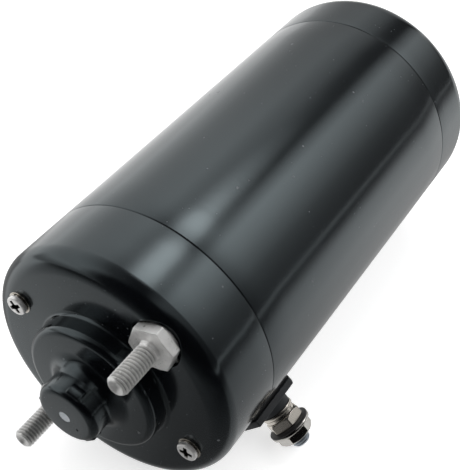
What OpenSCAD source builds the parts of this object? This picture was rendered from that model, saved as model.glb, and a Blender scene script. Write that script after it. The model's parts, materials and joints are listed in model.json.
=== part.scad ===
// Permanent-magnet starter motor of the long round-body kind, with two rear bracket studs
// and a side terminal.
// Frame: origin on the shaft axis at the drive-end mounting face, +X towards the drive end,
// +Z up as the motor lies at rest. Millimetres.

/* [Body] */
// Outside diameter of the yoke and both end covers
body_d = 76; // [74:1:80]
// Length of the steel yoke tube
yoke_len = 110; // [104:1:130]
// Length of the drive-end cover behind its mounting face
drive_len = 22; // [21:1:26]
// Length of the commutator-end cover up to its flat face
rear_len = 23; // [22:0.5:26]
// Wall thickness of the yoke tube
yoke_wall = 3; // [2.6:0.1:3.2]
// Corner rounding of the commutator-end cover
rear_round = 5.6; // [4:0.2:6]
// Corner rounding of the drive-end cover
drive_round = 7.6; // [5:0.2:8]

/* [Rear boss and nose] */
// Radius of the raised boss on the rear face
boss_r = 20.1; // [18.5:0.1:20.5]
// Height of the boss
boss_h = 6.5; // [5:0.5:7]
// Radius of the bearing nose
nose_r = 9.3; // [9.2:0.1:10]
// Height of the nose above the rear face
nose_h = 16; // [15.5:0.1:16.5]

/* [Fasteners] */
// Circle diameter of the through bolts and rear studs
bolt_pcd = 58.6; // [58:0.2:59.4]
// Direction of the first stud about the axis, from +Y towards +Z
stud_ang = 127.9; // [125:0.5:131]
// Direction of the first brush plate screw
screw_ang = 24.7; // [22:0.5:28]
// Across flats of the hexagon collar on the studs
collar_af = 12; // [11:0.5:12]
// How far the studs stand out of the rear face
stud_len = 15.6; // [12:0.1:18]
// How much further the second stud stands out than the first
stud_more = 1.2; // [0:0.1:1.5]

/* [Terminal] */
// Direction of the terminal about the axis
term_ang = -138.7; // [-141:0.5:-136]
// Distance from the terminal to the mounting face
term_x = 121; // [120.5:0.5:121.5]
// Across flats of the terminal nuts
nut_af = 10; // [10:0.5:11]

/* [Drive end] */
// Radius of the pilot spigot
pilot_r = 22; // [21:0.5:23]
// Height of the pilot spigot
pilot_h = 9; // [8.5:0.5:10]
// Number of teeth on the output pinion
pinion_teeth = 9; // [8:1:11]
// How far the shaft end stands out of the mounting face
shaft_out = 29; // [28:0.5:31]

/* [Armature] */
// Radius of the armature core
core_r = 25.4; // [24.5:0.1:25.6]
// Number of armature slots and commutator bars
slots = 18; // [16:1:20]
// Radius of the commutator
comm_r = 16; // [15.5:0.1:16]

/* [Hidden] */
$fn = 96;

// Radii from the shaft axis
body_r = body_d / 2;
yoke_inner_r = body_r - yoke_wall;
cavity_r = yoke_inner_r - 3.2;  // hollow of both covers
lip_r = yoke_inner_r - 0.05;    // cover lips inside the yoke
bolt_circle_r = bolt_pcd / 2;
screw_circle_r = bolt_circle_r + 0.1;
ball_circle_r = 12.5;

// Stations along the motor, 0 at the mounting face and negative towards the rear
drive_seam = -drive_len;
rear_seam = drive_seam - yoke_len;
rear_face = rear_seam - rear_len;
boss_face = rear_face - boss_h;
nose_end = rear_face - nose_h;
bearing_mid = -8.5;
bearing_len = 11;
bearing_rear = bearing_mid - bearing_len / 2;
core_rear = rear_seam + 30;
core_front = drive_seam - 20;
core_len = core_front - core_rear;
comm_rear = rear_face + 6.2;
comm_front = rear_seam + 12;
plate_rear = rear_face + 4;     // brush plate seat
plate_front = plate_rear + 1.6;
brush_mid = plate_front + 5.6;

// Sizes shared between parts
lip_len = 3;
seam_chamfer = 0.3;
housing_r = 21.5;               // outside of the bearing housing
ball_r = 3;
ball_count = 8;
race_groove_r = 3.03;
stud_r = 3;
shank_r = 2.7;
shank_hole_r = shank_r + 0.02;
term_bolt_r = 3;
slab_shift = 1.4;               // terminal insulator offset towards the rear
brush_out_r = comm_r + 8.5;     // outer end of a brush
box_stop_r = cavity_r - 2.2;    // closed end of a brush box
slot_angle = 360 / slots;

// Directions about the axis
bolt_angs = [stud_ang, stud_ang + 180];
screw_angs = [screw_ang, screw_ang + 180];
brush_angs = [0, 90, 180, 270];

// Colours used by more than one piece
cover_black = [0.10, 0.11, 0.13];
ring_black = [0.06, 0.06, 0.06];
bearing_steel = [0.72, 0.73, 0.75];

// ---- Placing ----

// Turns local X, Y, Z onto +Y, +Z, +X, so local Z is the station along the motor
module along() { rotate([90, 0, 90]) children(); }

// Places a child at a direction, radius and station
module at(angle, radius, z = 0) { rotate([0, 0, angle]) translate([radius, 0, z]) children(); }
module at_bolts(z = 0) { for (angle = bolt_angs) at(angle, bolt_circle_r, z) children(); }
module at_screws(z = 0) { for (angle = screw_angs) at(angle, screw_circle_r, z) children(); }
module at_retainer_screws(z = 0) { for (k = [0:2]) at(30 + 120 * k, 19.5, z) children(); }

// Terminal frame: local Z points outwards along the terminal, local X towards the rear
module term_frame() {
  along() rotate([0, 0, term_ang]) translate([0, 0, -term_x]) rotate([0, 90, 0]) children();
}

// ---- Shapes ----

module rod(radius, start, length) { translate([0, 0, start]) cylinder(r = radius, h = length); }

module ring(outer_r, inner_r, start, end) {
  translate([0, 0, start]) difference() {
    cylinder(r = outer_r, h = end - start);
    rod(inner_r, -1, end - start + 2);
  }
}

module torus(ring_r, section_r, z) {
  translate([0, 0, z]) rotate_extrude() translate([ring_r, 0]) circle(r = section_r, $fn = 48);
}

module hex(across_flats, height) {
  cylinder(r = across_flats / 2 / cos(30), h = height, $fn = 6);
}

// Half profile of a disc with its low corner rounded
module low_round(radius, start, end, round) {
  translate([0, start + round]) square([radius, end - start - round]);
  translate([0, start]) square([radius - round, round + 0.01]);
  translate([radius - round, start + round]) circle(r = round);
}

// Half profile of a disc with its high corner rounded
module high_round(radius, start, end, round) {
  translate([0, start]) square([radius, end - start - round]);
  translate([0, end - round - 0.01]) square([radius - round, round + 0.01]);
  translate([radius - round, end - round]) circle(r = round);
}

// Half profile of a hollow fillet where a disc rises from a face towards the rear
module root_fillet(radius, face, fillet) {
  difference() {
    translate([0, face - fillet]) square([radius + fillet, fillet + 0.5]);
    translate([radius + fillet, face - fillet]) circle(r = fillet);
  }
}

// ---- Covers and yoke ----

// Cutter for a cover edge at a seam; side is +1 if the yoke lies towards +X, else -1
module seam_edge(seam, side) {
  polygon([[body_r - seam_chamfer, seam + 0.02 * side],
           [body_r + 0.02, seam - seam_chamfer * side],
           [body_r + 1, seam + side]]);
}

// Ring groove in a cover lip that starts at the given station
module seam_groove(lip_start) {
  difference() {
    rod(lip_r + 1, lip_start + 0.6, 1.8);
    rod(lip_r - 1.4, lip_start, lip_len);
  }
}

module rear_cover_profile() {
  intersection() {
    union() {
      difference() {
        low_round(body_r, rear_face, rear_seam, rear_round);
        seam_edge(rear_seam, 1);
      }
      root_fillet(boss_r, rear_face, 1.2);
      low_round(boss_r, boss_face, rear_face + 1, 2);
      root_fillet(nose_r, boss_face, 4);
      low_round(nose_r, nose_end, rear_face, 2);
      translate([0, rear_seam - 1]) square([lip_r, lip_len + 1]);
    }
    translate([0, rear_face - 30]) square([body_r, 60 + rear_len]);
  }
}

module rear_cover() {
  color(cover_black) along() difference() {
    rotate_extrude() rear_cover_profile();
    // inside hollow, recess under the boss, bush seat and shaft end clearance
    rod(cavity_r, plate_rear, rear_len + 5);
    rod(13, rear_face - 2.5, 10);
    rod(7, nose_end + 2.4, 20);
    rod(5.6, nose_end + 1.8, 10);
    seam_groove(rear_seam);
    // stepped through bolt holes
    at_bolts() {
      rod(stud_r + 0.1, rear_face - 2, 40);
      rod(3.4, plate_rear + 0.7, 40);
      rod(7.2, rear_face - 1, 2.9);
      rod(4.4, rear_face, 3.1);
    }
    at_screws(rear_face - 2) cylinder(r = 2.05, h = 10);
  }
  // three raised square pads around the nose
  color(cover_black) along() for (angle = [107, 227, 347])
    at(angle, nose_r - 1.4, nose_end + 0.9) translate([0, -2.2, 0]) cube([1.62, 4.4, 3.4]);
}

module yoke() {
  edge_r = body_r - seam_chamfer;
  color([0.11, 0.12, 0.14]) along() difference() {
    rotate_extrude() polygon([
      [yoke_inner_r, rear_seam], [edge_r, rear_seam], [body_r, rear_seam + seam_chamfer],
      [body_r, drive_seam - seam_chamfer], [edge_r, drive_seam], [yoke_inner_r, drive_seam]]);
    // terminal hole
    at(term_ang, body_r, -term_x) rotate([0, 90, 0]) cylinder(r = 4.52, h = 20, center = true);
  }
}

module drive_cover_profile() {
  intersection() {
    union() {
      difference() {
        high_round(body_r, drive_seam, 0, drive_round);
        seam_edge(drive_seam, -1);
      }
      translate([0, drive_seam - lip_len]) square([lip_r, lip_len + 1]);
      high_round(pilot_r, -1, pilot_h, 1);
    }
    translate([0, drive_seam - 10]) square([body_r, 60]);
  }
}

module drive_cover() {
  color(cover_black) along() difference() {
    rotate_extrude() drive_cover_profile();
    // hollow around the bearing housing, leaving a 6 mm end wall
    difference() {
      rod(cavity_r, drive_seam - 5, drive_len + 5 - 6);
      rod(housing_r, bearing_rear, 20);
    }
    // bearing seat, web bore and seal seat
    rod(17.5, drive_seam - 5, bearing_mid + bearing_len / 2 - drive_seam + 5);
    rod(12, -6, 30);
    rod(14, 1.5, 30);
    // pilot groove and seam groove
    difference() {
      rod(pilot_r + 2, 3.2, 2.6);
      rod(pilot_r - 2.42, 3, 3);
    }
    seam_groove(drive_seam - lip_len);
    at_bolts(drive_seam - 5) cylinder(r = 3.4, h = 9);
    at_bolts(drive_seam + 3) cylinder(r = shank_hole_r, h = drive_len - 6.8);
    at_retainer_screws(bearing_mid - 6) cylinder(r = 1.27, h = 6);
  }
  // bolt bosses, flat on their outer side
  color(cover_black) along() for (angle = bolt_angs) difference() {
    at(angle, bolt_circle_r, drive_seam + 4) intersection() {
      cylinder(r = 5.6, h = 14);
      translate([-6, -6, 0]) cube([8.4, 12, 14]);
    }
    at(angle, bolt_circle_r, drive_seam) cylinder(r = shank_hole_r, h = drive_len - 4);
  }
}

module magnets() {
  span = 62;
  inner_r = core_r + 0.8;
  color([0.20, 0.20, 0.22]) along() for (k = [0:3])
    rotate([0, 0, stud_ang + 45 + 90 * k - span / 2])
      rotate_extrude(angle = span) translate([inner_r, rear_seam + 24])
        square([yoke_inner_r - 0.02 - inner_r, yoke_len - 36]);
}

module rear_bushing() {
  color([0.66, 0.50, 0.28]) along() ring(6.99, 5, nose_end + 2.4, rear_face - 2.6);
}

module seam_orings() {
  color(ring_black) along() for (z = [rear_seam + lip_len / 2, drive_seam - lip_len / 2])
    torus(lip_r - 0.66, 0.7, z);
}

module pilot_oring() { color(ring_black) along() torus(pilot_r - 1.25, 1.15, 4.5); }

module oil_seal() {
  color([0.16, 0.10, 0.08]) along() rotate_extrude() difference() {
    translate([7.55, 1.6]) square([6.43, 6.4]);
    translate([9.2, 4.6]) square([2.8, 4]);
  }
}

// ---- Drive-end bearing ----

module bearing_outer_race() {
  color(bearing_steel) along() rotate_extrude() difference() {
    translate([14.3, bearing_rear]) square([3.18, bearing_len]);
    translate([ball_circle_r, bearing_mid]) circle(r = race_groove_r);
    // step in each inner edge
    for (z = [bearing_rear - 0.1, bearing_mid + 4.4]) translate([14.2, z]) square([1, 1.2]);
  }
}

module bearing_inner_race() {
  color(bearing_steel) along() rotate_extrude() difference() {
    translate([7.51, bearing_rear]) square([3.19, bearing_len]);
    translate([ball_circle_r, bearing_mid]) circle(r = race_groove_r);
  }
}

module bearing_balls() {
  color([0.80, 0.81, 0.83]) along() for (k = [0:ball_count - 1])
    at(360 / ball_count * k, ball_circle_r, bearing_mid) sphere(r = ball_r, $fn = 48);
}

module bearing_cage() {
  color([0.70, 0.62, 0.40]) along() difference() {
    ring(13.3, 11.7, bearing_mid - 4, bearing_mid + 4);
    for (k = [0:ball_count - 1]) at(360 / ball_count * k, 10, bearing_mid)
      rotate([0, 90, 0]) cylinder(r = ball_r + 0.07, h = 5);
  }
}

module bearing_retainer() {
  color([0.55, 0.56, 0.58]) along() difference() {
    ring(housing_r - 0.1, 15.6, bearing_mid - 6.9, bearing_rear - 0.02);
    at_retainer_screws(bearing_mid - 9) cylinder(r = 1.6, h = 6);
  }
}

module retainer_screws() {
  color([0.66, 0.66, 0.66]) along() at_retainer_screws() {
    rod(2.3, bearing_mid - 8.1, 1.18);
    rod(1.25, bearing_mid - 7.2, 6.4);
  }
}

// ---- Brush gear ----

module brush_plate() {
  color([0.58, 0.59, 0.60]) along() difference() {
    ring(cavity_r - 0.3, comm_r + 2, plate_rear + 0.01, plate_front);
    at_bolts(plate_rear - 2) cylinder(r = 3.6, h = 8);
    at_screws(plate_rear - 2) cylinder(r = 1.97, h = 8);
  }
}

module brush_boxes() {
  box_r = comm_r + 2.4;  // open end of a box
  color([0.72, 0.58, 0.28]) along() for (angle = brush_angs) rotate([0, 0, angle]) difference() {
    translate([box_r, -4.6, plate_front + 0.01]) cube([cavity_r - 1 - box_r, 9.2, 11]);
    translate([comm_r, -3.32, brush_mid - 4.05]) cube([box_stop_r - comm_r, 6.64, 8.1]);
  }
}

// Block with its inner end hollowed to the commutator
module brush(angle) {
  color([0.17, 0.17, 0.18]) along() rotate([0, 0, angle]) difference() {
    translate([brush_out_r - 10.5, -3.25, brush_mid - 4]) cube([10.5, 6.5, 8]);
    rod(comm_r + 0.03, brush_mid - 6, 12);
  }
}
module brush_1() { brush(brush_angs[0]); }
module brush_2() { brush(brush_angs[1]); }
module brush_3() { brush(brush_angs[2]); }
module brush_4() { brush(brush_angs[3]); }

// Section of a coil across its axis, stretched around the axis so that the twisted
// extrusion gives a round wire
function coil_section(coil_r, wire_r, pitch, count) = [
  for (k = [0:count - 1])
    let (turn = 360 / count * k,
         swing = 360 * wire_r / pitch * sin(turn),
         radius = coil_r + wire_r * cos(turn))
    [radius * cos(swing), radius * sin(swing)]];

// Coil standing between the brush and the closed end of its box
module brush_spring(angle) {
  turns = 3;
  gap = 0.05;
  height = box_stop_r - brush_out_r - 2 * gap;
  color([0.62, 0.62, 0.64]) along() at(angle, brush_out_r + gap, brush_mid) rotate([0, 90, 0])
    linear_extrude(height = height, twist = -360 * turns, slices = 54, $fn = 12)
      polygon(coil_section(2.3, 0.36, height / turns, 12));
}
module brush_spring_1() { brush_spring(brush_angs[0]); }
module brush_spring_2() { brush_spring(brush_angs[1]); }
module brush_spring_3() { brush_spring(brush_angs[2]); }
module brush_spring_4() { brush_spring(brush_angs[3]); }

// ---- Terminal, from the inside outwards ----

module terminal_strap() {
  color([0.75, 0.45, 0.28]) term_frame() difference() {
    translate([-5, -5, yoke_inner_r - 5.1]) cube([22, 10, 1.2]);
    rod(term_bolt_r + 0.05, yoke_inner_r - 8, 8);
  }
}

module terminal_bolt() {
  start = yoke_inner_r - 7;
  color([0.66, 0.70, 0.74]) term_frame() {
    translate([-4.5, -4.5, yoke_inner_r - 8.3]) cube([9, 9, 3.18]);
    rod(term_bolt_r, start, body_r + 18.5 - start);
    translate([0, 0, body_r + 18.4]) cylinder(r1 = term_bolt_r, r2 = 2.2, h = 0.9);
  }
}

module terminal_inner_bush() {
  color([0.14, 0.14, 0.14]) term_frame() difference() {
    union() {
      rod(7.6, yoke_inner_r - 3.88, 2.9);
      rod(4.5, yoke_inner_r - 1.5, yoke_wall + 1);
    }
    rod(term_bolt_r + 0.02, yoke_inner_r - 7, 15);
  }
}

// Moulded seat between the round yoke and the flat insulator plate
module terminal_seat() {
  color([0.05, 0.05, 0.05]) difference() {
    term_frame() translate([slab_shift - 8.1, -6.2, body_r - 1.8]) cube([18.6, 12.4, 2.8]);
    along() translate([0, 0, rear_face]) cylinder(r = body_r + 0.01, h = 200, $fn = 720);
    term_frame() rod(6.1, body_r - 5, 20);
  }
}

module terminal_oring() { color([0.04, 0.04, 0.04]) term_frame() torus(5.25, 0.48, body_r + 0.51); }

// Insulator plate lying along the body and reaching just over the rear seam, with a collar
module terminal_plate() {
  color([0.17, 0.18, 0.19]) term_frame() difference() {
    union() {
      translate([slab_shift, 0, body_r + 1.02]) linear_extrude(height = 2.1)
        polygon([[-7.1, -7], [11.1, -7], [11.1, 7], [-7.1, 7], [-8.6, 5.5], [-8.6, -5.5]]);
      rod(4.95, body_r + 3, 3.2);
    }
    rod(term_bolt_r + 0.03, body_r - 2, 20);
  }
}

// Washer and nut on the terminal; low and high are heights above the body surface
module term_washer(outer_r, low, high) {
  term_frame() ring(outer_r, term_bolt_r + 0.04, body_r + low, body_r + high);
}

module term_nut(low, high, turn) {
  face_r = nut_af / 2 * 1.04;
  corner_r = nut_af / 2 * 1.16;
  height = high - low;
  color([0.76, 0.72, 0.65]) term_frame() translate([0, 0, body_r + low]) difference() {
    intersection() {
      rotate([0, 0, turn]) hex(nut_af, height);
      rotate_extrude() polygon([[0, 0], [face_r, 0], [corner_r, 0.7],
                                [corner_r, height - 0.7], [face_r, height], [0, height]]);
    }
    rod(term_bolt_r + 0.02, -1, height + 2);
  }
}

module terminal_flat_washer() { color([0.74, 0.71, 0.66]) term_washer(5.15, 6.22, 7.2); }
module terminal_spring_washer() {
  color([0.62, 0.60, 0.56]) difference() {
    term_washer(4.9, 7.22, 8.5);
    // slanted split
    term_frame() translate([3, 0.6, body_r + 7]) rotate([25, 0, 0]) cube([4, 0.7, 4]);
  }
}
module terminal_inner_nut() { term_nut(8.52, 11.8, 58); }
module terminal_lock_washer() { color([0.08, 0.08, 0.08]) term_washer(6.6, 11.82, 12.5); }
module terminal_flange_washer() { color([0.78, 0.79, 0.80]) term_washer(6.6, 12.52, 13.5); }
module terminal_outer_nut() { term_nut(13.52, 16.5, 33); }

// ---- Fasteners ----

// Rear stud with a tapered tip, hexagon collar and a shank into the drive-end cover
module through_bolts() {
  collar_turns = [47.2, 39.7];
  color([0.70, 0.71, 0.71]) along() for (k = [0:1]) at(bolt_angs[k], bolt_circle_r) {
    out = stud_len + k * stud_more;
    translate([0, 0, rear_face - out]) cylinder(r1 = 2.3, r2 = stud_r, h = 0.71);
    rod(stud_r, rear_face - out + 0.7, out - 0.7 + 2);
    translate([0, 0, rear_face - 2.2]) rotate([0, 0, collar_turns[k] - bolt_angs[k]])
      hex(collar_af, 3.2);
    rod(shank_r, rear_face, -rear_face - 4.2);
  }
}

// Plain washer with one locating tongue
module through_bolt_washers() {
  low = rear_face + 1.02;
  thick = 0.86;
  color([0.62, 0.63, 0.63]) along() at_bolts() {
    ring(5.85, stud_r + 0.05, low, low + thick);
    rotate([0, 0, 97]) translate([5, -1.2, low]) cube([1.9, 2.4, thick]);
  }
}

module through_bolt_orings() {
  color([0.05, 0.05, 0.05]) along() at_bolts() torus(3.7, 0.55, rear_face + 2.5);
}

module brush_plate_screws() {
  color([0.76, 0.76, 0.74]) along() at_screws() {
    // head with a rounded outer edge
    translate([0, 0, rear_face - 2.1]) rotate_extrude() {
      translate([0, 0.6]) polygon([[0, 0], [3, 0], [3.06, 0.7], [0, 0.7]]);
      square([2.4, 0.61]);
      translate([2.4, 0.6]) circle(r = 0.6);
    }
    rod(1.95, rear_face - 1.2, 8.6);
  }
}

module screw_spring_washers() {
  color([0.66, 0.66, 0.65]) along() at_screws() difference() {
    ring(3.2, 2.02, rear_face - 0.79, rear_face - 0.31);
    translate([1.5, -0.3, rear_face - 2]) cube([3, 0.6, 2]);
  }
}

module screw_flat_washers() {
  color([0.74, 0.74, 0.72]) along() at_screws()
    ring(3.45, 2.02, rear_face - 0.3, rear_face - 0.01);
}

// ---- Armature ----

// Straight-flanked stub teeth; each corner is [radius, angle as a share of the tooth pitch]
function pinion_points(teeth, root_r, tip_r) = [
  for (k = [0:teeth - 1])
    for (corner = [[root_r, -0.30], [tip_r, -0.14], [tip_r, 0.14], [root_r, 0.30]])
      let (angle = 360 / teeth * (k + corner[1]))
      corner[0] * [cos(angle), sin(angle)]];

module pinion() {
  tip_r = 10.8;
  rear = pilot_h + 3;
  front = shaft_out - 3;
  intersection() {
    translate([0, 0, rear]) linear_extrude(height = front - rear)
      polygon(pinion_points(pinion_teeth, 7.4, tip_r));
    // bevels the tooth ends
    rotate_extrude() polygon([[0, rear], [9.8, rear], [tip_r, rear + 1],
                              [tip_r, front - 1.2], [9.2, front], [0, front]]);
  }
}

module armature_shaft() {
  end_r = 6.6;
  shoulder = bearing_rear - 3;
  color([0.70, 0.71, 0.73]) along() {
    rod(4.97, nose_end + 3, nose_h + 4);
    rod(6, rear_face + 3.9, comm_front - rear_face - 3.8);
    rod(7, comm_front, shoulder - comm_front);
    rod(7.5, shoulder - 0.1, pilot_h - shoulder + 0.1);
    rod(end_r, pilot_h - 0.1, shaft_out - pilot_h - 0.9);
    translate([0, 0, shaft_out - 1.05]) cylinder(r1 = end_r, r2 = 5.6, h = 1.05);
    pinion();
  }
}

module armature_core() {
  color([0.42, 0.43, 0.45]) along() difference() {
    ring(core_r, 7.01, core_rear, core_front);
    // wide slot with a narrow mouth
    for (k = [0:slots - 1]) rotate([0, 0, slot_angle * k]) {
      translate([core_r - 8.6, -1.85, core_rear - 1]) cube([7.4, 3.7, core_len + 2]);
      translate([core_r - 3, -0.9, core_rear - 1]) cube([6, 1.8, core_len + 2]);
    }
  }
}

module core_end_insulators() {
  color([0.45, 0.30, 0.16]) along() {
    ring(16.4, 7.02, core_rear - 1.2, core_rear - 0.02);
    ring(16.4, 7.02, core_front + 0.02, core_front + 1.2);
  }
}

// Turns a half profile into an end-turn ring with a bore of radius 10.5
module end_turns(start) {
  rotate_extrude() translate([0, start]) difference() {
    children();
    translate([-1, -1]) square([11.5, 20]);
  }
}

module armature_coils() {
  turns_r = 23.6;
  turns_len = 10.6;
  color([0.62, 0.30, 0.14]) along() {
    for (k = [0:slots - 1]) rotate([0, 0, slot_angle * k])
      translate([core_r - 8.45, -1.7, core_rear - 3]) cube([7.1, 3.4, core_len + 6]);
    end_turns(core_rear - 12) low_round(turns_r, 0, turns_len, 4);
    end_turns(core_front + 1.4) high_round(turns_r, 0, turns_len, 4);
  }
}

module commutator_bars() {
  half_gap = 1.2;        // degrees
  riser_r = comm_r + 2.2;
  color([0.76, 0.46, 0.28]) along() for (k = [0:slots - 1])
    rotate([0, 0, slot_angle * k + half_gap]) rotate_extrude(angle = slot_angle - 2 * half_gap)
      polygon([[12, comm_rear], [comm_r, comm_rear], [comm_r, comm_front - 3],
               [riser_r, comm_front - 3], [riser_r, comm_front - 0.6], [12, comm_front - 0.6]]);
}

module commutator_hub() {
  color([0.30, 0.16, 0.10]) along() ring(11.98, 6.01, comm_rear - 0.6, comm_front - 0.4);
}

module thrust_washers() {
  color([0.60, 0.60, 0.62]) along() for (back = [2.4, 1.5, 0.6])
    ring(8.4, 5.02, rear_face - back, rear_face - back + 0.7);
}

rear_cover();
yoke();
drive_cover();
magnets();
rear_bushing();
seam_orings();
pilot_oring();
oil_seal();
bearing_outer_race();
bearing_inner_race();
bearing_balls();
bearing_cage();
bearing_retainer();
retainer_screws();
brush_plate();
brush_boxes();
brush_1();
brush_2();
brush_3();
brush_4();
brush_spring_1();
brush_spring_2();
brush_spring_3();
brush_spring_4();
terminal_strap();
terminal_bolt();
terminal_inner_bush();
terminal_seat();
terminal_oring();
terminal_plate();
terminal_flat_washer();
terminal_spring_washer();
terminal_inner_nut();
terminal_lock_washer();
terminal_flange_washer();
terminal_outer_nut();
through_bolts();
through_bolt_washers();
through_bolt_orings();
brush_plate_screws();
screw_spring_washers();
screw_flat_washers();
armature_shaft();
armature_core();
core_end_insulators();
armature_coils();
commutator_bars();
commutator_hub();
thrust_washers();
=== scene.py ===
"""A small electric motor: a painted body of three parts, a terminal, and a shaft with a pinion.

The shaft lies along X with its axis at y = z = 0. The rear cover and its nose are at the -X end,
the drive cover and pinion at the +X end. The terminal points down and towards -Y.
Lengths are millimetres and become metres only when vertices are made. Angles about the shaft
are degrees from +Y towards +Z.
"""
import bpy
import bmesh
import json
import random
from math import acos, atan2, ceil, cos, hypot, pi, radians, sin, sqrt, tan
from mathutils import Vector, Matrix


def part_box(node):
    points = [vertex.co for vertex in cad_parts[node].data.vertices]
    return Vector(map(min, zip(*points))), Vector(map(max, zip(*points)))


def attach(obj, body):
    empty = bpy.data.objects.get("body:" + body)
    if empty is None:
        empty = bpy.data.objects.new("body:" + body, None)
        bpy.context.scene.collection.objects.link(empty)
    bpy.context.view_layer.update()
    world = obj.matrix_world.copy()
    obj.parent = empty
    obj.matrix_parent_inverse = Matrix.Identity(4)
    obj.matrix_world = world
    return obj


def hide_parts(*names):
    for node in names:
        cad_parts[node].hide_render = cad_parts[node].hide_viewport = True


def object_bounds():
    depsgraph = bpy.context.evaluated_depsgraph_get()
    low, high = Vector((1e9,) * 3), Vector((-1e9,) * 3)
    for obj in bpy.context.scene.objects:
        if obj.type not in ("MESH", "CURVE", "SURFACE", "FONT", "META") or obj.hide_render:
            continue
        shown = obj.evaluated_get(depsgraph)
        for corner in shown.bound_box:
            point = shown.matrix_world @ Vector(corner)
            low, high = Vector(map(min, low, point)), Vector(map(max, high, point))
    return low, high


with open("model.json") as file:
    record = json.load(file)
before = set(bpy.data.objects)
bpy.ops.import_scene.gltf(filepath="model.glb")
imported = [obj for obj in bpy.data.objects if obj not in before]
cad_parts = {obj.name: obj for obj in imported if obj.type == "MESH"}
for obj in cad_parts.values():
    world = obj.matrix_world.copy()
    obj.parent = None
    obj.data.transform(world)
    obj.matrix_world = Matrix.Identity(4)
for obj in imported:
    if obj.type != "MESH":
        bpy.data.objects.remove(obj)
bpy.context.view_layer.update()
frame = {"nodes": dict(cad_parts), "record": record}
random.seed(7)
MM = 0.001
NODES = frame["nodes"]
SLOT_OF = {part["node"]: part["material_slot"] for part in frame["record"]["subparts"]}
BODY_OF = {node: body
           for body, members in frame["record"]["behaviour"]["bodies"].items()
           for node in members}


# ---------------------------------------------------------------- sizes
def box_mm(node):
    lo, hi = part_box(node)
    return [v / MM for v in lo], [v / MM for v in hi]


def x_span(node):
    lo, hi = box_mm(node)
    return lo[0], hi[0]


# body, read from the frame
yoke_lo, yoke_hi = box_mm("yoke")
BODY_R = (yoke_hi[1] - yoke_lo[1]) / 2
REAR_SEAM, DRIVE_SEAM = yoke_lo[0], yoke_hi[0]
NOSE = x_span("rear_cover")[0]
NOSE_HEIGHT = 16.0
REAR_FACE = NOSE + NOSE_HEIGHT      # flat face of the rear cover
BOSS_FACE = REAR_FACE - 6.5         # step between the nose and the rear face
PILOT_END = x_span("drive_cover")[1]

# walls
BORE_R = BODY_R - 3.0
CAVITY_R = BORE_R - 3.2
LIP_R = BORE_R - 0.05               # lip of each cover inside the tube
GROOVE_R = LIP_R - 1.4
SEAM_ROUND = 0.28
SEAL_GROOVE_MID = 1.5               # from the seam to the middle of the groove

# fasteners in the rear cover
BOLT_CIRCLE = 29.3
SCREW_CIRCLE = BOLT_CIRCLE + 0.1
BOLT_ANGLES = (127.9, 127.9 + 180)
SCREW_ANGLES = (24.7, 24.7 + 180)

# terminal
TERMINAL_ANGLE = -138.7
TERMINAL_X = -121.0

# marks on the end of the nose: centre (y, z)
MARK = (0.3, -0.5)
MARK_R = 1.75
MARK_DEPTH = 0.07
DIMPLE = (-3.6, -3.2)

FULL = True     # fourth entry of a fillet point: the radius isn't capped by its edges


# ---------------------------------------------------------------- outlines
def fillet(points, steps):
    """Rounds the corners of an open line of (r, x), (r, x, radius) or (r, x, radius, FULL)."""
    line = []
    for i, point in enumerate(points):
        radius = point[2] if len(point) > 2 else 0
        if radius <= 0 or i in (0, len(points) - 1):
            line.append((point[0], point[1]))
            continue
        corner = Vector(point[:2])
        back = Vector(points[i - 1][:2]) - corner
        ahead = Vector(points[i + 1][:2]) - corner
        back_length, ahead_length = back.length, ahead.length
        back.normalize()
        ahead.normalize()
        opening = acos(max(-1, min(1, back.dot(ahead))))
        if opening > pi - 0.02:     # almost straight
            line.append((point[0], point[1]))
            continue
        reach = radius / tan(opening / 2)
        if len(point) <= 3:
            reach = min(reach, 0.499 * back_length, 0.499 * ahead_length)
        arc_r = reach * tan(opening / 2)
        start, end = corner + back * reach, corner + ahead * reach
        centre = corner + (back + ahead).normalized() * (arc_r / sin(opening / 2))
        first = atan2(start.y - centre.y, start.x - centre.x)
        sweep = atan2(end.y - centre.y, end.x - centre.x) - first
        while sweep > pi:
            sweep -= 2 * pi
        while sweep < -pi:
            sweep += 2 * pi
        # larger arcs get more steps
        count = max(2, int(steps * max(1, (arc_r / 1.2) ** 0.5) * abs(sweep) / (pi / 2)) + 1)
        for j in range(count + 1):
            angle = first + sweep * j / count
            line.append((centre.x + arc_r * cos(angle), centre.y + arc_r * sin(angle)))
    kept = [line[0]]
    for r, x in line[1:]:
        if abs(r - kept[-1][0]) + abs(x - kept[-1][1]) > 1e-5:
            kept.append((r, x))
    return kept


def split_long(points, longest):
    """Splits the edges of a line so that none is longer than the given length."""
    line = [points[0]]
    for a, b in zip(points, points[1:]):
        count = max(1, int(ceil(hypot(b[0] - a[0], b[1] - a[1]) / longest)))
        for j in range(1, count + 1):
            line.append((a[0] + (b[0] - a[0]) * j / count, a[1] + (b[1] - a[1]) * j / count))
    return line


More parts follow.
